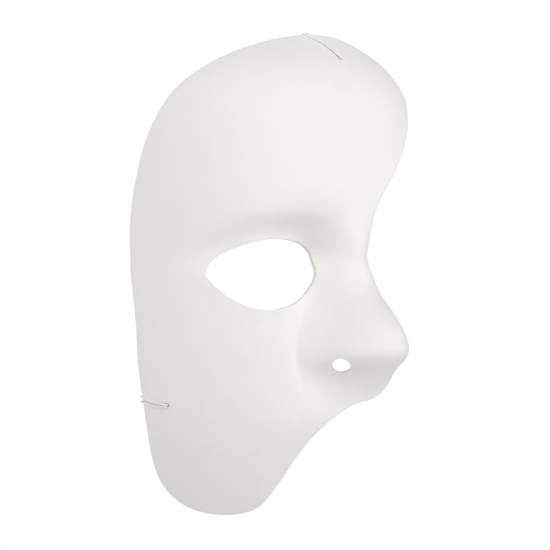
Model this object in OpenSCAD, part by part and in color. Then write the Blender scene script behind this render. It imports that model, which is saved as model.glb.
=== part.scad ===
// Half-face masquerade mask: a thin moulded shell with one eye opening and the whole
// nose, and a round elastic head strap hitched through a hole at the top of the
// forehead and another beside the outer cheek.
// Origin: on the middle plane of the face, level with the eye, in the plane of the
// outer cheek edge. +Z is up, the face looks towards -Y, the eye opening is at -X.

/* [Shell] */
// thickness of the moulded wall
shell_wall = 1.2; // [0.8:0.1:2]
// half the width of the face at the level of the eye, measured along the moulding
face_half_width = 78; // [74:1:82]
// how far the nose stands out, as a share of its normal height
nose_share = 1; // [0.8:0.05:1.15]
// depth of the hollow between the brow and the nose
hollow_depth = 5; // [3:0.5:8]
// step of the brow down to the upper edge of the eye opening
brow_step = 4.5; // [2:0.5:6]
// height of the ridge of the brow
brow_ridge = 0.8; // [0:0.2:4]
// fullness of the cheek
cheek_fullness = 3; // [0:0.5:4]

/* [Holes] */
// diameter of each nostril hole
nostril_d = 8; // [5:0.5:9]
// distance of each nostril hole from the middle plane
nostril_x = 17.3; // [15:0.1:18]
// diameter of the two strap holes
strap_hole_d = 2.2; // [2.2:0.1:4]

/* [Strap] */
// diameter of the round elastic
cord_d = 0.8; // [0.8:0.05:1]
// spacing of the two strands where they go over the rim
strand_spread = 2.2; // [1.8:0.2:4]
// size of the knots, as a share of their normal size
knot_share = 1; // [0.9:0.05:1.3]
// length of the middle stretch of the strap
middle_length = 40; // [20:1:60]

/* [Hidden] */
columns_per_span = 4;
ring_count = 20;
cord_sides = 10;

// Every table runs in height: [height, value].
half_width = [[-130, 52], [-110, 61], [-80, 70], [-40, 76], [0, 78], [40, 78], [70, 75], [92, 66], [112, 52]];
front_line = [[-130, 12], [-110, 32], [-95, 42], [-80, 49], [-60, 54], [-30, 55], [0, 54], [25, 57], [50, 59], [73, 56], [90, 48], [105, 34], [112, 26]];
side_depth = [[-130, 62], [-110, 70], [-60, 75], [0, 75], [60, 74], [92, 66], [112, 60]];
nose_height = [[-70, 0], [-61, 0.5], [-54, 3.5], [-48, 9], [-42, 16], [-37, 22], [-33, 24.7], [-29, 25], [-24, 24], [-19, 21], [-14, 16.5], [-9, 11.2], [-4, 7.7], [2, 5.9], [10, 5], [20, 2], [35, 0], [60, 0]];
nose_foot = [[-70, 28], [-42, 29], [-30, 28], [-14, 23], [0, 18], [12, 19], [24, 25], [38, 34], [60, 40]];

// The rim of the shell and the edge of the eye opening on the unrolled sheet:
// [distance round the face, height], clockwise as seen by someone facing the mask.
rim = [[-14, 105], [6, 105], [24, 101], [42, 93], [50, 82], [43, 71], [33, 58], [22, 45],
       [12, 33], [8, 20], [9, 6], [13, -9], [21, -24], [24, -35], [18, -46], [6, -53],
       [-7, -56], [-20, -65], [-29, -78], [-36, -91], [-42, -100], [-52, -103.5],
       [-66, -103.5], [-80, -100], [-92, -92], [-99, -80], [-103, -62], [-105, -40],
       [-105, -18], [-107, 5], [-109, 25], [-107, 45], [-101, 63], [-91, 79], [-77, 89],
       [-60, 96], [-42, 101], [-28, 103.5]];
eye = [[-37, 15.3], [-28, 15], [-20.8, 13.2], [-17, 9.8], [-16.2, 6], [-16.1, 2], [-17.8, -2.5],
       [-21.5, -7], [-27.7, -11], [-36, -14], [-42, -15], [-48, -14.3], [-54, -12.3], [-60, -9],
       [-65.5, -4.3], [-68.5, 0.3], [-64.5, 6], [-57, 10.2], [-46, 14]];

// smooth curve through a table
function idx(T, z) = max(0, min(len(T) - 2, len([for (p = T) if (p[0] <= z) 1]) - 1));
function slope(T, i) = let (a = max(i - 1, 0), b = min(i + 1, len(T) - 1))
    (T[b][1] - T[a][1]) / (T[b][0] - T[a][0]);
function curve(T, z0) = let (
    z = max(T[0][0], min(T[len(T) - 1][0], z0)),
    i = idx(T, z), h = T[i + 1][0] - T[i][0], t = (z - T[i][0]) / h,
    t2 = t * t, t3 = t2 * t)
    (2 * t3 - 3 * t2 + 1) * T[i][1] + (t3 - 2 * t2 + t) * h * slope(T, i)
    + (3 * t2 - 2 * t3) * T[i + 1][1] + (t3 - t2) * h * slope(T, i + 1);
function ramp(a, b, v) = let (t = max(0, min(1, (v - a) / (b - a)))) t * t * (3 - 2 * t);
function mound(x, z, cx, cz, sx, sz, r = 0) = let (
    dx = x - cx, dz = z - cz,
    a = (cos(r) * dx + sin(r) * dz) / sx, b = (-sin(r) * dx + cos(r) * dz) / sz)
    exp(-0.5 * (a * a + b * b));

// what stands out of, or sinks into, the plain curve of the face
function nose(ax, z) = let (
    d = -33 - z, zn = z - 0.45 * max(0, d) * min(1, ax * ax / 676) * ramp(0, 8, d),
    foot = curve(nose_foot, z) * (1 + 0.1 * ramp(-46, -30, z) * (1 - ramp(-4, 8, z))),
    q = min(1, ax / foot))
    nose_share * (curve(nose_height, zn) * pow(1 - q * q, 1.5 + 0.45 * ramp(-36, -12, z))
    + 0.9 * mound(ax, z, 18, -31.5, 6, 5) - 1.7 * mound(ax, z, 13, -43, 9, 4)
    - 0.6 * mound(ax, z, 26, -36, 4, 7));
function socket(ax, z) = let (
    rho = sqrt(pow((ax - 38) / 25, 2) + pow(z / 16, 2)))
    -hollow_depth * mound(ax, z, 21, 13, 10, 9) - 4.5 * mound(ax, z, 20, -3, 6, 10)
    - brow_step * ramp(-4, 12, z) * (1 - ramp(1, 1.8, rho)) * (1 - ramp(50, 72, ax))
    - 1.6 * mound(ax, z, 26, 20, 10, 3.6, -14) - 1.4 * mound(ax, z, 60, 7, 8, 4, -30);
function cheek(ax, z) = cheek_fullness * mound(ax, z, 37, -35, 17, 14)
    - 1.2 * mound(ax, z, 27, -27, 8, 9) + 1.4 * mound(ax, z, 40, -58, 16, 10)
    - 0.8 * mound(ax, z, 36, -20, 14, 5);
function relief(x, z) = let (ax = abs(x))
    nose(ax, z) + socket(ax, z) + cheek(ax, z) + brow_ridge * mound(ax, z, 32, 34, 24, 6.5, 6)
    + 1.5 * mound(ax, z, 56, 34, 10, 18) + 4 * mound(ax, z, 7, -62, 12, 8);

// a point of the outer surface from its place on the unrolled sheet
function skin(p) = let (
    a = p[0] / 78 * 180 / PI, w = face_half_width / 78,
    x = w * curve(half_width, p[1]) * sin(a))
    [x, -(curve(front_line, p[1]) - curve(side_depth, p[1]) * (1 - cos(a))
    + relief(x / w, p[1])), p[1]];
function unit(v) = v / norm(v);
function outward(p, h = 0.4) = unit(cross(
    skin(p + [h, 0]) - skin(p - [h, 0]), skin(p + [0, h]) - skin(p - [0, h])));

// smooth closed curve through the control points
function loop_point(T, u) = let (
    n = len(T), i = floor(u), t = u - i,
    p0 = T[(i + n - 1) % n], p1 = T[i % n], p2 = T[(i + 1) % n], p3 = T[(i + 2) % n])
    0.5 * (2 * p1 + (p2 - p0) * t + (2 * p0 - 5 * p1 + 4 * p2 - p3) * t * t
    + (3 * p1 - p0 - 3 * p2 + p3) * t * t * t);

columns = len(rim) * columns_per_span;
sheet = [for (c = [0:columns - 1]) let (
    e = loop_point(eye, c / columns * len(eye)), o = loop_point(rim, c / columns_per_span))
    [for (r = [0:ring_count - 1]) let (w = r / (ring_count - 1)) e * (1 - w) + o * w]];
outer = [for (col = sheet) [for (p = col) skin(p)]];
facing = [for (c = [0:columns - 1]) [for (r = [0:ring_count - 1]) unit(cross(
    outer[(c + 1) % columns][r] - outer[(c + columns - 1) % columns][r],
    outer[c][min(r + 1, ring_count - 1)] - outer[c][max(r - 1, 0)]))]];
inner = [for (c = [0:columns - 1]) [for (r = [0:ring_count - 1])
    r == 0 ? outer[c][0] + [0, shell_wall / max(0.6, -facing[c][0][1]), 0]
           : outer[c][r] - shell_wall * facing[c][r]]];

function flat(a) = [for (b = a) for (c = b) c];
half_count = columns * ring_count;
shell_points = concat(flat(outer), flat(inner));
function at(c, r) = (c % columns) * ring_count + r;
shell_faces = concat(
    [for (c = [0:columns - 1]) for (r = [0:ring_count - 2]) each [
        [at(c, r), at(c, r + 1), at(c + 1, r + 1)],
        [at(c, r), at(c + 1, r + 1), at(c + 1, r)]]],
    [for (c = [0:columns - 1]) for (r = [0:ring_count - 2]) each [
        [half_count + at(c, r), half_count + at(c + 1, r + 1), half_count + at(c, r + 1)],
        [half_count + at(c, r), half_count + at(c + 1, r), half_count + at(c + 1, r + 1)]]],
    [for (c = [0:columns - 1]) each [
        [at(c, ring_count - 1), half_count + at(c, ring_count - 1), half_count + at(c + 1, ring_count - 1)],
        [at(c, ring_count - 1), half_count + at(c + 1, ring_count - 1), at(c + 1, ring_count - 1)],
        [at(c, 0), half_count + at(c + 1, 0), half_count + at(c, 0)],
        [at(c, 0), at(c + 1, 0), half_count + at(c + 1, 0)]]]);

// places of the holes and of the rim crossings on the unrolled sheet
nostril_z = -38.7;
function side_of(x, z) = asin(x / (face_half_width / 78 * curve(half_width, z))) * PI / 180 * 78;
nostril_at = [side_of(-nostril_x, nostril_z), nostril_z];
top_hole = [0, 94.5];
side_hole = [-91, -56];
// where the strands cross the rim, counted in control points of the rim; control points
// per millimetre there; how far along the rim the strap draws its knot; and how far the
// strands bow to one side on the front
top_edge = [0, 1 / 17, -3, 1.8];
side_edge = [26.4, 1 / 22, 2, -0.5];

// stands a round cutter on the wall at a place of the sheet
module drill(p, d) {
    q = skin(p);
    n = outward(p, 2);
    translate(q - 0.5 * shell_wall * n)
        rotate([0, acos(n[2]), atan2(n[1], n[0])])
            cylinder(h = 8, d = d, center = true, $fn = 28);
}

module mask_shell() {
    color([0.93, 0.925, 0.91])
    difference() {
        polyhedron(points = shell_points, faces = shell_faces, convexity = 8);
        drill(nostril_at, nostril_d);
        drill([-nostril_at[0], nostril_z], nostril_d);
        drill(top_hole, strap_hole_d);
        drill(side_hole, strap_hole_d);
    }
}

// a round cord swept along a path; side is the direction its sections are turned from
module cord(path, side, d) {
    n = len(path);
    pts = [for (i = [0:n - 1]) let (
        t = unit(path[min(i + 1, n - 1)] - path[max(i - 1, 0)]),
        b = unit(side - t * (side * t)), c = cross(t, b))
        for (k = [0:cord_sides - 1]) path[i] + d / 2 * (cos(360 * k / cord_sides) * b
            + sin(360 * k / cord_sides) * c)];
    faces = concat(
        [[for (k = [0:cord_sides - 1]) k]],
        [[for (k = [0:cord_sides - 1]) (n - 1) * cord_sides + cord_sides - 1 - k]],
        [for (i = [0:n - 2]) for (k = [0:cord_sides - 1]) let (
            a = i * cord_sides + k, b = i * cord_sides + (k + 1) % cord_sides) each [
            [a, a + cord_sides, b + cord_sides], [a, b + cord_sides, b]]]);
    polyhedron(points = pts, faces = faces, convexity = 6);
}

// smooth open curve through control points
function bend(P, steps) = let (n = len(P)) concat([for (i = [0:n - 2]) for (j = [0:steps - 1]) let (
    t = j / steps, p0 = P[max(i - 1, 0)], p1 = P[i], p2 = P[i + 1], p3 = P[min(i + 2, n - 1)])
    0.5 * (2 * p1 + (p2 - p0) * t + (2 * p0 - 5 * p1 + 4 * p2 - p3) * t * t
    + (3 * p1 - p0 - 3 * p2 + p3) * t * t * t)], [P[n - 1]]);

// One strand: from the knot behind the rim to the hole, out through it, along the front
// and back over the rim to the knot. s is +1 or -1 for the two strands.
function lift(p, d) = skin(p) + outward(p, 1) * d;
function rim_at(u) = loop_point(rim, (u + len(rim)) % len(rim));
function rim_way(u) = unit(skin(rim_at(u + 0.05)) - skin(rim_at(u - 0.05)));
function rim_face(hole, u) = outward(rim_at(u) + 1.5 * unit(hole - rim_at(u)), 1);
function rim_out(hole, u) = let (n = rim_face(hole, u)) unit(cross(n, rim_way(u)));
function knot_centre(hole, edge) = skin(rim_at(edge[0]))
    - rim_face(hole, edge[0]) * (shell_wall + 2.6 * cord_d) - rim_out(hole, edge[0])
    + rim_way(edge[0]) * edge[2];
function strand(hole, edge, s) = let (
    r = cord_d / 2 + 0.08, u = edge[0] + s * strand_spread / 2 * edge[1],
    goal = rim_at(u), e = unit(rim_at(edge[0]) - hole), f = [e[1], -e[0]],
    span = norm(goal - hole), w = (goal - hole) * f, hx = s * (cord_d / 2 + 0.03),
    n = rim_face(hole, u), out = rim_out(hole, u), way = rim_way(u),
    back = -shell_wall - r, kc = knot_centre(hole, edge) + s * 0.56 * cord_d * way)
    [kc - 1.3 * out,
     lift(hole + e * (span - 6) + f * hx, back - 0.7),
     lift(hole + e * span * 0.4 + f * hx, back - 0.15),
     lift(hole + e * 1.9 + f * hx, back - 0.35),
     lift(hole + e * 0.2 + f * hx, back - 0.05),
     lift(hole + f * hx, -shell_wall / 2),
     lift(hole + e * 0.3 + f * hx, r + 0.12),
     lift(hole + e * 2.3 + f * (hx * 0.85 + w * 0.15 + edge[3] * 0.45), r + 0.14),
     lift(hole + e * span * 0.5 + f * (hx * 0.5 + w * 0.5 + edge[3]), r + 0.05),
     lift(goal - e * 1.4 - f * (w * 0.08 - edge[3] * 0.2), r + 0.05),
     skin(goal) + out * r * 0.85 + n * r * 0.6,
     skin(goal) + out * r * 1.15 - n * shell_wall * 0.5,
     skin(goal) + out * r * 0.5 - n * (shell_wall + r),
     kc + 1.3 * out];
module strands(hole, edge) {
    for (s = [-1, 1]) cord(bend(strand(hole, edge, s), 4), rim_way(edge[0]), cord_d);
}

// knot: the cord drawn up into a trefoil
knot_unit = 0.62 * knot_share * cord_d;
module knot(hole, edge) {
    c = knot_centre(hole, edge);
    n = rim_face(hole, edge[0]);
    v = rim_out(hole, edge[0]);
    u = cross(v, n);
    m = 45;
    ring = [for (k = [0:m - 1]) let (t = 360 * k / m)
        c + knot_unit * ((sin(t) + 2 * sin(2 * t)) * u + (cos(t) - 2 * cos(2 * t)) * v
        - 1.1 * sin(3 * t) * n)];
    pts = [for (i = [0:m - 1]) let (
        t = unit(ring[(i + 1) % m] - ring[(i + m - 1) % m]),
        b = unit(n - t * (n * t)), w = cross(t, b))
        for (k = [0:cord_sides - 1]) ring[i] + cord_d / 2 * (cos(360 * k / cord_sides) * b
            + sin(360 * k / cord_sides) * w)];
    faces = [for (i = [0:m - 1]) for (k = [0:cord_sides - 1]) let (
        a = i * cord_sides + k, b = i * cord_sides + (k + 1) % cord_sides,
        a2 = ((i + 1) % m) * cord_sides + k, b2 = ((i + 1) % m) * cord_sides + (k + 1) % cord_sides)
        each [[a, a2, b2], [a, b2, b]]];
    polyhedron(points = pts, faces = faces, convexity = 6);
}

// the strap between the two knots, in three stretches
knot_to_knot = knot_centre(side_hole, side_edge) - knot_centre(top_hole, top_edge);
strap_way = unit(knot_to_knot);
strap_top = knot_centre(top_hole, top_edge) + strap_way * 1.4 * cord_d;
strap_side = knot_centre(side_hole, side_edge) - strap_way * 1.4 * cord_d;
strap_span = norm(strap_side - strap_top);
upper_end = strap_top + strap_way * (strap_span - middle_length) / 2;
lower_start = strap_side - strap_way * (strap_span - middle_length) / 2;
join_gap = 0.05 * strap_way;
module stretch(a, b) {
    translate(a)
        rotate([0, acos((b - a)[2] / norm(b - a)), atan2((b - a)[1], (b - a)[0])])
            cylinder(h = norm(b - a), d = cord_d, $fn = 20);
}

module top_hitch() { color([0.96, 0.96, 0.95]) strands(top_hole, top_edge); }
module side_hitch() { color([0.96, 0.96, 0.95]) strands(side_hole, side_edge); }
module top_knot() { color([0.95, 0.95, 0.94]) knot(top_hole, top_edge); }
module side_knot() { color([0.95, 0.95, 0.94]) knot(side_hole, side_edge); }
module strap_upper() { color([0.96, 0.96, 0.95]) stretch(strap_top, upper_end); }
module strap_middle() { color([0.96, 0.96, 0.95]) stretch(upper_end + join_gap, lower_start - join_gap); }
module strap_lower() { color([0.96, 0.96, 0.95]) stretch(lower_start, strap_side); }

mask_shell();
top_hitch();
top_knot();
side_hitch();
side_knot();
strap_upper();
strap_middle();
strap_lower();
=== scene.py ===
import math

import bpy
import numpy as np
from mathutils import Matrix, Vector
from mathutils.kdtree import KDTree


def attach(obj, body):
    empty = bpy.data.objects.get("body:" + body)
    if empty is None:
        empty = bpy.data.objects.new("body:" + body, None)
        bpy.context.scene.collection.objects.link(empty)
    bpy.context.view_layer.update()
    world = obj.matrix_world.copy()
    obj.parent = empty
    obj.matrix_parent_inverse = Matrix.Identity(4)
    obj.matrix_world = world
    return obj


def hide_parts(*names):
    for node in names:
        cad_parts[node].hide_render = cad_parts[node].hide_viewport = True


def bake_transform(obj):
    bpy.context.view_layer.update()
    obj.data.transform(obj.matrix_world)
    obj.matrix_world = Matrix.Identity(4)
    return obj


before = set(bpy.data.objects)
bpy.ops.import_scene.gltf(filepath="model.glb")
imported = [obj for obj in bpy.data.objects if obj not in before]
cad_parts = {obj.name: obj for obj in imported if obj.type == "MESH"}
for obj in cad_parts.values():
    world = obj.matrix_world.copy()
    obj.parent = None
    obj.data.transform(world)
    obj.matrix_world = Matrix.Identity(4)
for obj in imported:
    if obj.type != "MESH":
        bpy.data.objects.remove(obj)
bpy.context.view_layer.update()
scene = bpy.context.scene
MM = 0.001

# ---------------------------------------------------------------- the face, in millimetres
WALL = 1.2
HALF_WIDTH = [[-130, 52], [-110, 61], [-80, 70], [-40, 76], [0, 78], [40, 78], [70, 75], [92, 66], [112, 52]]
FRONT = [[-130, 12], [-110, 32], [-95, 42], [-80, 49], [-60, 54], [-30, 55], [0, 54], [25, 57], [50, 59], [73, 56],
         [90, 48], [105, 34], [112, 26]]
DEPTH = [[-130, 62], [-110, 70], [-60, 75], [0, 75], [60, 74], [92, 66], [112, 60]]
NOSE = [[-70, 0], [-61, 0.5], [-54, 3.5], [-48, 9], [-42, 16], [-37, 22], [-33, 24.7], [-29, 25], [-24, 24], [-19, 21],
        [-14, 16.5], [-9, 11.2], [-4, 7.7], [2, 5.9], [10, 5], [20, 2], [35, 0], [60, 0]]
FOOT = [[-70, 28], [-42, 29], [-30, 28], [-14, 23], [0, 18], [12, 19], [24, 25], [38, 34], [60, 40]]
RIM = np.array([[-14, 105], [6, 105], [24, 101], [42, 93], [50, 82], [43, 71], [33, 58], [22, 45], [12, 33], [8, 20],
                [9, 6], [13, -9], [21, -24], [24, -35], [18, -46], [6, -53], [-7, -56], [-20, -65], [-29, -78],
                [-36, -91], [-42, -100], [-52, -103.5], [-66, -103.5], [-80, -100], [-92, -92], [-99, -80], [-103, -62],
                [-105, -40], [-105, -18], [-107, 5], [-109, 25], [-107, 45], [-101, 63], [-91, 79], [-77, 89],
                [-60, 96], [-42, 101], [-28, 103.5]], float)
EYE = np.array([[-37, 15.3], [-28, 15], [-20.8, 13.2], [-17, 9.8], [-16.2, 6], [-16.1, 2], [-17.8, -2.5], [-21.5, -7],
                [-27.7, -11], [-36, -14], [-42, -15], [-48, -14.3], [-54, -12.3], [-60, -9], [-65.5, -4.3], [-68.5, 0.3],
                [-64.5, 6], [-57, 10.2], [-46, 14]], float)


def curve(table, z):
    """Smooth curve through a table of [height, value]."""
    t = np.array(table, float)
    z = np.clip(np.asarray(z, float), t[0, 0], t[-1, 0])
    n = len(t)
    i = np.clip(np.searchsorted(t[:, 0], z, side="right") - 1, 0, n - 2)
    a, b = np.maximum(np.arange(n) - 1, 0), np.minimum(np.arange(n) + 1, n - 1)
    slope = (t[b, 1] - t[a, 1]) / (t[b, 0] - t[a, 0])
    h = t[i + 1, 0] - t[i, 0]
    u = (z - t[i, 0]) / h
    return ((2 * u**3 - 3 * u**2 + 1) * t[i, 1] + (u**3 - 2 * u**2 + u) * h * slope[i]
            + (3 * u**2 - 2 * u**3) * t[i + 1, 1] + (u**3 - u**2) * h * slope[i + 1])


def ramp(a, b, v):
    t = np.clip((v - a) / (b - a), 0, 1)
    return t * t * (3 - 2 * t)


def mound(x, z, cx, cz, sx, sz, turn=0.0):
    c, s = math.cos(math.radians(turn)), math.sin(math.radians(turn))
    dx, dz = x - cx, z - cz
    return np.exp(-0.5 * (((c * dx + s * dz) / sx) ** 2 + ((-s * dx + c * dz) / sz) ** 2))


def relief(x, z):
    ax = np.abs(x)
    d = -33 - z
    zn = z - 0.45 * np.maximum(0, d) * np.minimum(1, ax * ax / 676) * ramp(0, 8, d)
    q = np.minimum(1, ax / (curve(FOOT, z) * (1 + 0.10 * ramp(-46, -30, z) * (1 - ramp(-4, 8, z)))))
    nose = curve(NOSE, zn) * np.power(np.maximum(1 - q * q, 0), 1.5 + 0.45 * ramp(-36, -12, z))
    nose = nose + 0.9 * mound(ax, z, 18, -31.5, 6, 5) - 1.7 * mound(ax, z, 13, -43, 9, 4) - 0.6 * mound(ax, z, 26, -36, 4, 7)
    rho = np.sqrt(((ax - 38) / 25) ** 2 + (z / 16) ** 2)
    socket = (-5.0 * mound(ax, z, 21, 13, 10, 9) - 4.5 * mound(ax, z, 20, -3, 6, 10)
              - 4.5 * ramp(-4, 12, z) * (1 - ramp(1, 1.8, rho)) * (1 - ramp(50, 72, ax))
              - 1.6 * mound(ax, z, 26, 20, 10, 3.6, -14) - 1.4 * mound(ax, z, 60, 7, 8, 4, -30))
    return (nose + socket + 0.8 * mound(ax, z, 32, 34, 24, 6.5, 6) + 4 * mound(ax, z, 7, -62, 12, 8)
            + 1.5 * mound(ax, z, 56, 34, 10, 18) + 3.0 * mound(ax, z, 37, -35, 17, 14)
            - 1.2 * mound(ax, z, 27, -27, 8, 9) + 1.4 * mound(ax, z, 40, -58, 16, 10) - 0.8 * mound(ax, z, 36, -20, 14, 5))


def skin(p):
    """Points of the outer surface from their places on the unrolled sheet."""
    p = np.asarray(p, float)
    a, z = p[..., 0] / 78.0, p[..., 1]
    x = curve(HALF_WIDTH, z) * np.sin(a)
    f = curve(FRONT, z) - curve(DEPTH, z) * (1 - np.cos(a)) + relief(x, z)
    return np.stack([x, -f, z], -1)


def unit(v):
    return v / np.maximum(np.linalg.norm(v, axis=-1, keepdims=True), 1e-12)


def outward(p, h=0.4):
    p = np.asarray(p, float)
    dx, dz = np.array([h, 0.0]), np.array([0.0, h])
    return unit(np.cross(skin(p + dx) - skin(p - dx), skin(p + dz) - skin(p - dz)))


def loop_point(table, u):
    n = len(table)
    u = np.asarray(u, float) % n
    i = np.floor(u).astype(int)
    t = (u - i)[..., None]
    p0, p1, p2, p3 = table[(i - 1) % n], table[i % n], table[(i + 1) % n], table[(i + 2) % n]
    return 0.5 * (2 * p1 + (p2 - p0) * t + (2 * p0 - 5 * p1 + 4 * p2 - p3) * t * t
                  + (3 * p1 - p0 - 3 * p2 + p3) * t**3)


def make_mesh(name, points, faces, smooth=True):
    mesh = bpy.data.meshes.new(name)
    mesh.from_pydata([tuple(p) for p in np.asarray(points, float) * MM], [], [tuple(f) for f in faces])
    mesh.validate(verbose=False)
    mesh.polygons.foreach_set("use_smooth", [smooth] * len(mesh.polygons))
    mesh.update()
    obj = bpy.data.objects.new(name, mesh)
    scene.collection.objects.link(obj)
    return obj


# ---------------------------------------------------------------- node helpers
def new_material(name):
    m = bpy.data.materials.new(name)
    m.use_nodes = True
    nt = m.node_tree
    nt.nodes.clear()
    out = nt.nodes.new("ShaderNodeOutputMaterial")
    bsdf = nt.nodes.new("ShaderNodeBsdfPrincipled")
    nt.links.new(bsdf.outputs["BSDF"], out.inputs["Surface"])
    return m, nt, bsdf


def noise(nt, vec, scale, detail=3.0, rough=0.55, distortion=0.0):
    n = nt.nodes.new("ShaderNodeTexNoise")
    n.inputs["Scale"].default_value = scale
    n.inputs["Detail"].default_value = detail
    n.inputs["Roughness"].default_value = rough
    n.inputs["Distortion"].default_value = distortion
    nt.links.new(vec, n.inputs["Vector"])
    return n.outputs["Fac"]


def map_range(nt, value, a, b, c, d, smooth=False):
    n = nt.nodes.new("ShaderNodeMapRange")
    n.interpolation_type = "SMOOTHSTEP" if smooth else "LINEAR"
    for k, v in zip(("From Min", "From Max", "To Min", "To Max"), (a, b, c, d)):
        n.inputs[k].default_value = v
    nt.links.new(value, n.inputs["Value"])
    return n.outputs["Result"]


def maths(nt, op, a, b):
    n = nt.nodes.new("ShaderNodeMath")
    n.operation = op
    for k, v in enumerate((a, b)):
        if isinstance(v, (int, float)):
            n.inputs[k].default_value = v
        else:
            nt.links.new(v, n.inputs[k])
    return n.outputs[0]


def mix(nt, fac, a, b):
    n = nt.nodes.new("ShaderNodeMix")
    n.data_type = "RGBA"
    if isinstance(fac, (int, float)):
        n.inputs[0].default_value = fac
    else:
        nt.links.new(fac, n.inputs[0])
    for k, v in ((6, a), (7, b)):
        if isinstance(v, tuple):
            n.inputs[k].default_value = (*v, 1.0)
        else:
            nt.links.new(v, n.inputs[k])
    return n.outputs[2]


def bump(nt, height, distance, strength, after=None):
    n = nt.nodes.new("ShaderNodeBump")
    n.inputs["Distance"].default_value = distance
    n.inputs["Strength"].default_value = strength
    nt.links.new(height, n.inputs["Height"])
    if after is not None:
        nt.links.new(after, n.inputs["Normal"])
    return n.outputs["Normal"]


def attribute(nt, name):
    n = nt.nodes.new("ShaderNodeAttribute")
    n.attribute_type = "GEOMETRY"
    n.attribute_name = name
    return n.outputs["Fac"]


def moulded(name, base, low, high, grain, gloss):
    """Matt moulded plastic: broad mottle, fine pressed grain, uneven sheen, handling marks along the edges."""
    m, nt, bsdf = new_material(name)
    where = nt.nodes.new("ShaderNodeTexCoord").outputs["Object"]
    broad = noise(nt, where, 34, 4, 0.6, 0.4)
    cloudy = noise(nt, where, 130, 5, 0.6, 0.2)
    fine = noise(nt, where, 1500, 3, 0.6)
    specks = noise(nt, where, 620, 2, 0.5)
    rubbed = noise(nt, where, 260, 4, 0.7, 0.3)
    darker = tuple(c * k for c, k in zip(base, (0.982, 0.979, 0.974)))
    lighter = tuple(min(1.0, c * 1.008) for c in base)
    tone = mix(nt, map_range(nt, broad, 0.32, 0.68, 0.0, 1.0, True), darker, base)
    tone = mix(nt, map_range(nt, cloudy, 0.45, 0.75, 0.0, 0.6, True), tone, lighter)
    # tiny pores and flecks
    tone = mix(nt, map_range(nt, specks, 0.69, 0.76, 0.0, 0.10, True), tone, tuple(c * 0.80 for c in base))
    # the cut edges have been handled: a little greyer and more polished
    edge = map_range(nt, attribute(nt, "edge_mm"), 0.25, 1.9, 1.0, 0.0, True)
    worn = maths(nt, "MULTIPLY", edge, map_range(nt, rubbed, 0.38, 0.68, 0.10, 0.85, True))
    tone = mix(nt, maths(nt, "MULTIPLY", worn, 0.30), tone, (base[0] * 0.86, base[1] * 0.845, base[2] * 0.82))
    nt.links.new(tone, bsdf.inputs["Base Color"])
    rough = map_range(nt, cloudy, 0.3, 0.7, low, high, True)
    rough = maths(nt, "ADD", rough, map_range(nt, specks, 0.4, 0.6, -0.025, 0.025))
    rough = maths(nt, "SUBTRACT", rough, maths(nt, "MULTIPLY", worn, 0.09))
    nt.links.new(rough, bsdf.inputs["Roughness"])
    bsdf.inputs["Specular IOR Level"].default_value = gloss
    bsdf.inputs["IOR"].default_value = 1.46
    normal = bump(nt, broad, 0.0012, 0.10)
    normal = bump(nt, cloudy, 0.0004, 0.14, normal)
    normal = bump(nt, fine, 0.00016, grain, normal)
    nt.links.new(normal, bsdf.inputs["Normal"])
    return m


def braided(name):
    """White round elastic: a diamond braid of fine yarns, each with its own fibres, with painted shade in the grooves
    between the yarns.
    """
    m, nt, bsdf = new_material(name)
    uv = nt.nodes.new("ShaderNodeUVMap")
    uv.uv_map = "cord"
    sep = nt.nodes.new("ShaderNodeSeparateXYZ")
    nt.links.new(uv.outputs["UV"], sep.inputs[0])
    u = maths(nt, "MULTIPLY", sep.outputs["X"], 4.0)
    v = maths(nt, "MULTIPLY", sep.outputs["Y"], 100.0 / 1.6)
    left = maths(nt, "SINE", maths(nt, "MULTIPLY", maths(nt, "ADD", u, v), 2 * math.pi), 0.0)
    right = maths(nt, "SINE", maths(nt, "MULTIPLY", maths(nt, "SUBTRACT", u, v), 2 * math.pi), 0.0)
    yarns_and_groove_shade = maths(nt, "MAXIMUM", left, right)
    fibre_l = maths(nt, "SINE", maths(nt, "MULTIPLY", maths(nt, "ADD", u, v), 2 * math.pi * 5), 0.0)
    where = nt.nodes.new("ShaderNodeTexCoord").outputs["Object"]
    fuzz = noise(nt, where, 5200, 3, 0.7)
    soil = noise(nt, where, 90, 3, 0.6)
    # painted shade: the grooves between the yarns are coloured darker than the yarn tops
    tone = mix(nt, map_range(nt, yarns_and_groove_shade, -0.4, 0.9, 0.0, 1.0, True), (0.86, 0.855, 0.845), (0.955, 0.95, 0.94))
    tone = mix(nt, map_range(nt, soil, 0.45, 0.75, 0.0, 0.15, True), tone, (0.88, 0.865, 0.84))
    tone = mix(nt, map_range(nt, fuzz, 0.55, 0.8, 0.0, 0.25), tone, (0.97, 0.97, 0.965))
    nt.links.new(tone, bsdf.inputs["Base Color"])
    nt.links.new(map_range(nt, fuzz, 0.3, 0.7, 0.72, 0.92), bsdf.inputs["Roughness"])
    bsdf.inputs["Specular IOR Level"].default_value = 0.25
    bsdf.inputs["Sheen Weight"].default_value = 0.2
    bsdf.inputs["Sheen Roughness"].default_value = 0.5
    normal = bump(nt, yarns_and_groove_shade, 0.00005, 0.35)
    normal = bump(nt, fibre_l, 0.00002, 0.25, normal)
    normal = bump(nt, fuzz, 0.00003, 0.3, normal)
    nt.links.new(normal, bsdf.inputs["Normal"])
    return m


shell_front = moulded("moulded_front", (0.900, 0.886, 0.868), 0.52, 0.64, 0.20, 0.30)
shell_back = moulded("moulded_back", (0.880, 0.866, 0.846), 0.40, 0.56, 0.10, 0.42)
elastic = braided("braided_elastic")

# ---------------------------------------------------------------- the moulded shell
SPAN = 16                      # columns for each control point of the rim
COLUMNS = len(RIM) * SPAN
RINGS = 96
EDGE = 0.38                    # rounding of the cut edges
ARC = 4                        # steps in each rounding
TOP_HOLE, SIDE_HOLE, HOLE_D = np.array([0.0, 94.5]), np.array([-91.0, -56.0]), 2.2
NOSTRIL_X, NOSTRIL_Z, NOSTRIL_D = 17.3, -38.7, 8.0


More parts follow.
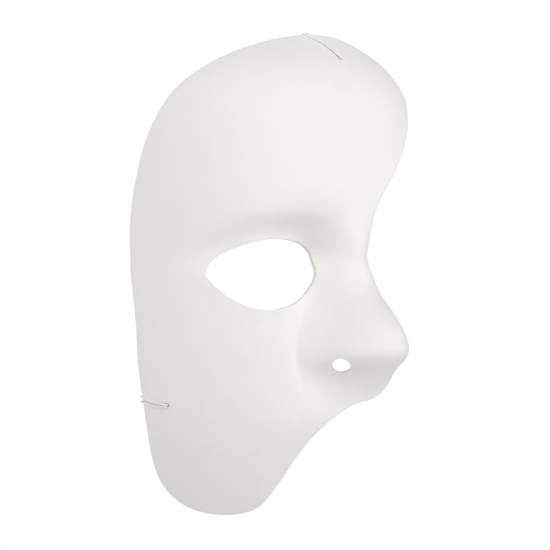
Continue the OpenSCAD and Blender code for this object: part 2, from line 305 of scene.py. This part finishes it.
def build_shell():
    c = np.arange(COLUMNS)
    e = loop_point(EYE, c / COLUMNS * len(EYE))
    o = loop_point(RIM, c / SPAN)
    s = skin(np.stack([e, e + (o - e) * 0.01], 1))
    near = np.linalg.norm(s[:, 1] - s[:, 0], axis=1) / 0.01
    s = skin(np.stack([o, o + (e - o) * 0.01], 1))
    far = np.linalg.norm(s[:, 1] - s[:, 0], axis=1) / 0.01
    r = np.linspace(0, 1, RINGS)
    # a little denser near both edges, where the form turns
    r = r + 0.035 * np.sin(2 * math.pi * r) * -1.0
    w = (EDGE / near)[:, None] + (1 - EDGE / near - EDGE / far)[:, None] * r[None, :]
    sheet = e[:, None, :] * (1 - w[..., None]) + o[:, None, :] * w[..., None]
    outer = skin(sheet)

    def facing(points):
        across = np.roll(points, -1, 0) - np.roll(points, 1, 0)
        along = np.empty_like(points)
        along[:, 1:-1] = points[:, 2:] - points[:, :-2]
        along[:, 0] = points[:, 1] - points[:, 0]
        along[:, -1] = points[:, -1] - points[:, -2]
        return unit(np.cross(across, along))

    n = facing(outer)
    eye_edge, rim_edge = skin(e), skin(o)
    n_eye, n_rim = n[:, 0], n[:, -1]
    # at the eye the wall goes straight back; elsewhere it is as thick as the sheet
    back = np.zeros_like(n)
    back[..., 1] = WALL / np.maximum(0.6, -n[..., 1])
    gone = np.linalg.norm(outer - eye_edge[:, None, :], axis=-1)
    k = (1 - ramp(0.3, 3.2, gone))[..., None]
    inner = outer + k * back + (1 - k) * (-WALL * n)

    into_eye = unit(eye_edge - outer[:, 0])
    into_rim = unit(rim_edge - outer[:, -1])
    wall_eye = np.zeros_like(eye_edge)
    wall_eye[:, 1] = WALL / np.maximum(0.6, -n_eye[:, 1])
    wall_rim = -WALL * n_rim

    def rounding(edge, into, wall):
        """Rings from the front edge round to the back edge."""
        way, deep = unit(wall), np.linalg.norm(wall, axis=1, keepdims=True)
        rings = []
        for j in range(1, ARC + 1):
            a = math.pi / 2 * j / ARC
            rings.append(edge - into * EDGE * (1 - math.sin(a)) + way * EDGE * (1 - math.cos(a)))
        for j in range(ARC):
            a = math.pi / 2 * j / ARC
            rings.append(edge + way * (deep - EDGE * (1 - math.sin(a))) - into * EDGE * (1 - math.cos(a)))
        return rings

    rim_rings = rounding(rim_edge, into_rim, wall_rim)
    eye_rings = rounding(eye_edge, into_eye, wall_eye)
    rings = [outer[:, j] for j in range(RINGS)] + rim_rings + [inner[:, j] for j in range(RINGS - 1, -1, -1)] + eye_rings[::-1]
    points = np.concatenate(rings)
    count = len(rings)
    faces, kind = [], []
    cc, cn = np.arange(COLUMNS), (np.arange(COLUMNS) + 1) % COLUMNS
    for j in range(count):
        a, b = j * COLUMNS, ((j + 1) % count) * COLUMNS
        quad = np.stack([a + cc, b + cc, b + cn, a + cn], 1)
        faces.extend(quad.tolist())
        inside = RINGS + 2 * ARC <= j < 2 * RINGS + 2 * ARC - 1
        kind.extend([1 if inside else 0] * COLUMNS)
    obj = make_mesh("mask_moulding", points, faces)
    obj.data.materials.append(shell_front)
    obj.data.materials.append(shell_back)
    obj.data.polygons.foreach_set("material_index", kind)
    obj.data.update()
    edges = [skin(loop_point(RIM, np.linspace(0, len(RIM), 1400, endpoint=False))),
             skin(loop_point(EYE, np.linspace(0, len(EYE), 500, endpoint=False)))]
    return obj, edges


def cutter(name, centre, axis, radius, flare, thick, sides):
    """A round cutter. Where flare is above 0 its ends open out, which rounds the edges of the hole it leaves."""
    axis = unit(np.asarray(axis, float))
    a = unit(np.cross(axis, [0.3, 0.1, 1.0]))
    b = np.cross(axis, a)
    half = thick / 2
    profile = []
    if flare > 0:
        steps = 5
        profile.append((radius + flare + 1.2, half + 1.2))
        for j in range(steps + 1):
            t = math.pi / 2 * j / steps
            profile.append((radius + flare * (1 - math.sin(t)), half - flare * (1 - math.cos(t)) + 0.02))
        for j in range(steps, -1, -1):
            t = math.pi / 2 * j / steps
            profile.append((radius + flare * (1 - math.sin(t)), -half + flare * (1 - math.cos(t)) - 0.02))
        profile.append((radius + flare + 1.2, -half - 1.2))
    else:
        profile = [(radius, 4.0), (radius, -4.0)]
    pts, faces = [], []
    for rad, h in profile:
        for k in range(sides):
            t = 2 * math.pi * k / sides
            pts.append(centre + axis * h + (a * math.cos(t) + b * math.sin(t)) * rad)
    for j in range(len(profile) - 1):
        for k in range(sides):
            k2 = (k + 1) % sides
            faces.append((j * sides + k, j * sides + k2, (j + 1) * sides + k2, (j + 1) * sides + k))
    faces.append(tuple(range(sides - 1, -1, -1)))
    faces.append(tuple(range((len(profile) - 1) * sides, len(profile) * sides)))
    obj = make_mesh(name, np.array(pts), faces)
    obj.data.flip_normals()
    import bmesh
    bm = bmesh.new()
    bm.from_mesh(obj.data)
    bmesh.ops.recalc_face_normals(bm, faces=bm.faces)
    bm.to_mesh(obj.data)
    bm.free()
    obj.data.materials.append(shell_front)
    obj.data.materials.append(shell_back)
    return obj


def side_of(x, z):
    return math.asin(x / float(curve(HALF_WIDTH, z))) * 78


def drill(shell, edges):
    s = side_of(NOSTRIL_X, NOSTRIL_Z)
    jobs = [("nostril_right", np.array([-s, NOSTRIL_Z]), NOSTRIL_D / 2, 0.0, 64),
            ("nostril_left", np.array([s, NOSTRIL_Z]), NOSTRIL_D / 2, 0.0, 64),
            ("top", TOP_HOLE, HOLE_D / 2, 0.3, 40),
            ("side", SIDE_HOLE, HOLE_D / 2, 0.3, 40)]
    for name, at, radius, flare, sides in jobs:
        n = outward(at, 2)
        c = skin(at) - 0.5 * WALL * n
        tool = cutter("cut_" + name, c, n, radius, flare, WALL, sides)
        mod = shell.modifiers.new("cut", "BOOLEAN")
        mod.operation = "DIFFERENCE"
        mod.solver = "EXACT"
        mod.object = tool
        bpy.context.view_layer.update()
        depsgraph = bpy.context.evaluated_depsgraph_get()
        result = bpy.data.meshes.new_from_object(shell.evaluated_get(depsgraph))
        shell.modifiers.clear()
        old = shell.data
        shell.data = result
        bpy.data.meshes.remove(old)
        data = tool.data
        bpy.data.objects.remove(tool)
        bpy.data.meshes.remove(data)
        a = unit(np.cross(n, [0.3, 0.1, 1.0]))
        b = np.cross(n, a)
        t = np.linspace(0, 2 * math.pi, 60, endpoint=False)[:, None]
        for deep in (0.5, -0.5):
            edges.append(c + n * WALL * deep + (np.cos(t) * a + np.sin(t) * b) * radius)


shell, edge_lines = build_shell()
drill(shell, edge_lines)
shell.name = "mask_moulding"
shell.data.name = "mask_moulding"
shell.data.polygons.foreach_set("use_smooth", [True] * len(shell.data.polygons))
shell.data.set_sharp_from_angle(angle=math.radians(48))
tree_points = np.concatenate(edge_lines)
tree = KDTree(len(tree_points))
for i, p in enumerate(tree_points):
    tree.insert(p, i)
tree.balance()
reach = np.array([tree.find(v.co / MM)[2] for v in shell.data.vertices], np.float32)
att = shell.data.attributes.new("edge_mm", "FLOAT", "POINT")
att.data.foreach_set("value", reach)
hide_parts("mask_shell")
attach(shell, "mask")

# ---------------------------------------------------------------- the elastic
CORD, SPREAD = 0.8, 2.2
TOP_EDGE, SIDE_EDGE = (0.0, 1 / 17, -3.0, 1.8), (26.4, 1 / 22, 2.0, -0.5)
MIDDLE = 40.0


def rim_at(u):
    return loop_point(RIM, u)


def rim_way(u):
    return unit(skin(rim_at(u + 0.05)) - skin(rim_at(u - 0.05)))


def rim_face(hole, u):
    p = rim_at(u)
    return outward(p + 1.5 * unit(hole - p), 1)


def rim_out(hole, u):
    return unit(np.cross(rim_face(hole, u), rim_way(u)))


def knot_centre(hole, edge):
    return (skin(rim_at(edge[0])) - rim_face(hole, edge[0]) * (WALL + 2.6 * CORD) - rim_out(hole, edge[0])
            + rim_way(edge[0]) * edge[2])


def lift(p, d):
    return skin(p) + outward(p, 1) * d


def strand(hole, edge, s):
    r = CORD / 2 + 0.08
    u = edge[0] + s * SPREAD / 2 * edge[1]
    goal = rim_at(u)
    e = unit(rim_at(edge[0]) - hole)
    f = np.array([e[1], -e[0]])
    span = np.linalg.norm(goal - hole)
    w = float((goal - hole) @ f)
    hx = s * (CORD / 2 + 0.03)
    n, out, way = rim_face(hole, u), rim_out(hole, u), rim_way(u)
    back = -WALL - r
    kc = knot_centre(hole, edge) + s * 0.56 * CORD * way
    return np.array([
        kc - 1.3 * out,
        lift(hole + e * (span - 6) + f * hx, back - 0.7),
        lift(hole + e * span * 0.4 + f * hx, back - 0.15),
        lift(hole + e * 1.9 + f * hx, back - 0.35),
        lift(hole + e * 0.2 + f * hx, back - 0.05),
        lift(hole + f * hx, -WALL / 2),
        lift(hole + e * 0.3 + f * hx, r + 0.12),
        lift(hole + e * 2.3 + f * (hx * 0.85 + w * 0.15 + edge[3] * 0.45), r + 0.14),
        lift(hole + e * span * 0.5 + f * (hx * 0.5 + w * 0.5 + edge[3]), r + 0.05),
        lift(goal - e * 1.4 - f * (w * 0.08 - edge[3] * 0.2), r + 0.05),
        skin(goal) + out * r * 0.85 + n * r * 0.6,
        skin(goal) + out * r * 1.15 - n * WALL * 0.5,
        skin(goal) + out * r * 0.5 - n * (WALL + r),
        kc + 1.3 * out])


def bend(points, steps):
    n = len(points)
    found = []
    for i in range(n - 1):
        p0, p1, p2, p3 = points[max(i - 1, 0)], points[i], points[i + 1], points[min(i + 2, n - 1)]
        for j in range(steps):
            t = j / steps
            found.append(0.5 * (2 * p1 + (p2 - p0) * t + (2 * p0 - 5 * p1 + 4 * p2 - p3) * t * t
                                + (3 * p1 - p0 - 3 * p2 + p3) * t**3))
    found.append(points[-1])
    return np.array(found)


def respaced(path, step, closed=False):
    p = np.concatenate([path, path[:1]]) if closed else path
    d = np.concatenate([[0], np.cumsum(np.linalg.norm(np.diff(p, axis=0), axis=1))])
    n = max(4, int(round(d[-1] / step)))
    at = np.linspace(0, d[-1], n + 1)
    q = np.stack([np.interp(at, d, p[:, k]) for k in range(3)], 1)
    return (q[:-1] if closed else q), float(d[-1])


def tube(path, d=CORD, sides=24, step=0.14, closed=False, start_at=0.0):
    """Points, faces and (round, along) for a braided round cord swept along a path."""
    q, length = respaced(np.asarray(path, float), step, closed)
    n = len(q)
    if closed:
        tangent = unit(np.roll(q, -1, 0) - np.roll(q, 1, 0))
    else:
        tangent = unit(np.gradient(q, axis=0))
    side = unit(np.cross(tangent[0], [0.31, 0.52, 0.79]))
    frames = [side]
    for i in range(1, n):
        side = side - tangent[i] * float(side @ tangent[i])
        side = side / np.linalg.norm(side)
        frames.append(side)
    frames = np.array(frames)
    if closed:
        # the frame has turned a little by the time it is back; the turn is spread along the cord
        last = frames[-1] - tangent[0] * float(frames[-1] @ tangent[0])
        last = last / np.linalg.norm(last)
        twist = math.atan2(float(np.cross(frames[0], last) @ tangent[0]), float(frames[0] @ last))
        turn = -twist * np.arange(n) / n
    else:
        turn = np.zeros(n)
    other = np.cross(tangent, frames)
    a = frames * np.cos(turn)[:, None] + other * np.sin(turn)[:, None]
    b = -frames * np.sin(turn)[:, None] + other * np.cos(turn)[:, None]
    th = 2 * math.pi * np.arange(sides) / sides
    along = start_at + np.arange(n) * length / (n if closed else n - 1)
    pitch = 1.6
    if closed:
        pitch = length / max(1, round(length / pitch))
    ph = 2 * math.pi * along[:, None] / pitch
    yarn = np.maximum(np.sin(4 * th[None] + ph), np.sin(4 * th[None] - ph))
    rad = d / 2 * (0.955 + 0.045 * yarn)
    if not closed:
        # cut ends draw in a little
        end = np.minimum(np.arange(n), np.arange(n)[::-1]) * step
        rad = rad * (0.86 + 0.14 * ramp(0, 0.35, end))[:, None]
    pts = q[:, None, :] + rad[..., None] * (np.cos(th)[None, :, None] * a[:, None, :] + np.sin(th)[None, :, None] * b[:, None, :])
    faces, uvs = [], []
    last = n if closed else n - 1
    for i in range(last):
        j = (i + 1) % n
        v0 = along[i] / 100.0
        v1 = (along[i] + length / (n if closed else n - 1)) / 100.0
        for k in range(sides):
            k2 = (k + 1) % sides
            faces.append((i * sides + k, i * sides + k2, j * sides + k2, j * sides + k))
            u0, u1 = k / sides, (k + 1) / sides
            uvs.append(((u0, v0), (u1, v0), (u1, v1), (u0, v1)))
    if not closed:
        faces.append(tuple(range(sides - 1, -1, -1)))
        uvs.append(tuple((0.5, 0.0) for _ in range(sides)))
        faces.append(tuple(range((n - 1) * sides, n * sides)))
        uvs.append(tuple((0.5, along[-1] / 100.0) for _ in range(sides)))
    return pts.reshape(-1, 3), faces, uvs


def cord_object(name, parts):
    points, faces, uvs, at = [], [], [], 0
    for pts, fs, us in parts:
        points.append(pts)
        faces.extend([tuple(i + at for i in f) for f in fs])
        uvs.extend(us)
        at += len(pts)
    obj = make_mesh(name, np.concatenate(points), faces)
    layer = obj.data.uv_layers.new(name="cord")
    flat = [c for us in uvs for uv in us for c in uv]
    if len(flat) == len(layer.data) * 2:
        layer.data.foreach_set("uv", flat)
    obj.data.set_sharp_from_angle(angle=math.radians(60))
    obj.data.materials.append(elastic)
    return obj


def knot_paths(hole, edge):
    c = knot_centre(hole, edge)
    n, v = rim_face(hole, edge[0]), rim_out(hole, edge[0])
    u = np.cross(v, n)
    k = 0.62 * CORD
    t = np.linspace(0, 2 * math.pi, 180, endpoint=False)[:, None]
    ring = c + k * ((np.sin(t) + 2 * np.sin(2 * t)) * u + (np.cos(t) - 2 * np.cos(2 * t)) * v - 1.1 * np.sin(3 * t) * n)
    return c, n, u, v, ring


def build_hitch(prefix, hole, edge, tails):
    hitch = cord_object(prefix + "_hitch_cord", [tube(bend(strand(hole, edge, s), 14)) for s in (-1, 1)])
    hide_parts(prefix + "_hitch")
    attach(hitch, "mask")
    c, n, u, v, ring = knot_paths(hole, edge)
    parts = [tube(ring, closed=True)]
    for a, b, back in tails:
        path = np.array([c + 0.4 * a * u + 0.4 * b * v, c + 1.5 * a * u + 1.2 * b * v - 0.3 * n,
                         c + 2.7 * a * u + 1.7 * b * v - (0.5 + 0.25 * back) * n,
                         c + 3.9 * a * u + 1.9 * b * v - (0.5 + 0.7 * back) * n])
        parts.append(tube(bend(path, 12), d=0.94 * CORD))
    knot = cord_object(prefix + "_knot_cord", parts)
    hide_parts(prefix + "_knot")
    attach(knot, "mask")


build_hitch("top", TOP_HOLE, TOP_EDGE, [(-1.0, -0.55, 1.0), (-0.75, 0.35, 1.6)])
build_hitch("side", SIDE_HOLE, SIDE_EDGE, [(1.0, -0.35, 1.2), (0.7, 0.5, 1.6)])

top_c, side_c = knot_centre(TOP_HOLE, TOP_EDGE), knot_centre(SIDE_HOLE, SIDE_EDGE)
way = unit(side_c - top_c)
start, finish = top_c + way * 1.4 * CORD, side_c - way * 1.4 * CORD
span = float(np.linalg.norm(finish - start))
reach_mm = (span - MIDDLE) / 2
upper_end, lower_start = start + way * reach_mm, finish - way * reach_mm


def straight(a, b, n=40):
    return a + (b - a) * np.linspace(0, 1, n)[:, None]


def plain_tube(a, b, at):
    return tube(straight(a, b), start_at=at)


upper = cord_object("strap_upper_cord", [plain_tube(start, upper_end, 0.0)])
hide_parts("strap_upper")
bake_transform(upper)
middle = cord_object("strap_middle_cord", [plain_tube(upper_end - way * 0.02, lower_start + way * 0.02, reach_mm)])
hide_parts("strap_middle")
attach(middle, "strap")
lower = cord_object("strap_lower_cord", [plain_tube(lower_start, finish, reach_mm + MIDDLE)])
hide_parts("strap_lower")
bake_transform(lower)

# ---------------------------------------------------------------- floor, light and camera
BACK = Vector((-0.6427876, -0.7660444, 0.0))
RIGHT = Vector((0.7660444, -0.6427876, 0.0))
UP = Vector((0.0, 0.0, 1.0))

n_floor, rings = 96, 14
pts, faces = [(0.0, 0.0, 0.0)], []
for j in range(1, rings + 1):
    rad = 1000.0 * j / rings
    for k in range(n_floor):
        t = 2 * math.pi * k / n_floor
        pts.append((rad * math.cos(t), rad * math.sin(t), 0.0))
for k in range(n_floor):
    faces.append((0, 1 + k, 1 + (k + 1) % n_floor))
for j in range(rings - 1):
    a, b = 1 + j * n_floor, 1 + (j + 1) * n_floor
    for k in range(n_floor):
        k2 = (k + 1) % n_floor
        faces.append((a + k, b + k, b + k2, a + k2))
floor = make_mesh("studio_floor", np.array(pts) + np.array([0, 0, -330.0]), faces)
m, nt, bsdf = new_material("pale_floor")
bsdf.inputs["Base Color"].default_value = (0.93, 0.93, 0.93, 1)
bsdf.inputs["Roughness"].default_value = 0.9
floor.data.materials.append(m)


def softbox(name, right, up, front, size, watts, tint=(1.0, 1.0, 1.0)):
    data = bpy.data.lights.new(name, "AREA")
    data.shape = "SQUARE"
    data.size = size
    data.energy = watts
    data.color = tint
    lamp = bpy.data.objects.new(name, data)
    scene.collection.objects.link(lamp)
    lamp.location = RIGHT * right + UP * up + BACK * front
    lamp.rotation_euler = (-lamp.location).to_track_quat("-Z", "Y").to_euler()
    lamp.visible_camera = False
    return lamp


LIGHTS = {
    "soft_front": (0.15, 0.25, 1.40, 0.9, 0.6),
    "soft_top_front": (0.10, 1.10, 0.95, 0.9, 6.6),
    "soft_top": (0.10, 1.40, 0.10, 0.9, 0.1),
    "soft_right": (1.20, 0.20, 0.75, 0.8, 7.6),
    "soft_top_right": (0.95, 0.95, 0.55, 0.8, 1.2),
    "soft_left": (-1.25, 0.10, 0.60, 0.8, 4.3),
    "soft_top_left": (-0.95, 0.95, 0.55, 0.8, 0.2),
    "soft_far_left": (-1.35, 0.40, -0.15, 0.8, 1.2),
}
AMBIENT_LOW, AMBIENT_HIGH = 0.77, 0.14
for light_name, (r_, u_, f_, size_, watts_) in LIGHTS.items():
    softbox(light_name, r_, u_, f_, size_, watts_)

world = bpy.data.worlds.new("white_studio")
scene.world = world
world.use_nodes = True
wt = world.node_tree
wt.nodes.clear()
w_out = wt.nodes.new("ShaderNodeOutputWorld")
w_mix = wt.nodes.new("ShaderNodeMixShader")
w_path = wt.nodes.new("ShaderNodeLightPath")
w_light = wt.nodes.new("ShaderNodeBackground")
w_seen = wt.nodes.new("ShaderNodeBackground")
# the room is dimmer below than above
w_dir = wt.nodes.new("ShaderNodeTexCoord")
w_sep = wt.nodes.new("ShaderNodeSeparateXYZ")
wt.links.new(w_dir.outputs["Generated"], w_sep.inputs[0])
w_fac = map_range(wt, w_sep.outputs["Z"], -0.9, 0.9, 0.0, 1.0, True)
wt.links.new(mix(wt, w_fac, (AMBIENT_LOW,) * 3, (AMBIENT_HIGH,) * 3), w_light.inputs["Color"])
w_light.inputs["Strength"].default_value = 1.0
w_seen.inputs["Color"].default_value = (1, 1, 1, 1)
w_seen.inputs["Strength"].default_value = 1.0
wt.links.new(w_path.outputs["Is Camera Ray"], w_mix.inputs["Fac"])
wt.links.new(w_light.outputs[0], w_mix.inputs[1])
wt.links.new(w_seen.outputs[0], w_mix.inputs[2])
wt.links.new(w_mix.outputs[0], w_out.inputs["Surface"])

cam_data = bpy.data.cameras.new("camera")
cam_data.lens = 130.0
cam_data.sensor_width = 36.0
cam_data.clip_start = 0.01
cam_data.clip_end = 20.0
camera = bpy.data.objects.new("camera", cam_data)
scene.collection.objects.link(camera)
camera.location = BACK * 0.9
camera.rotation_euler = (-camera.location).to_track_quat("-Z", "Y").to_euler()
scene.camera = camera
scene.view_settings.view_transform = "Standard"
scene.view_settings.look = "None"
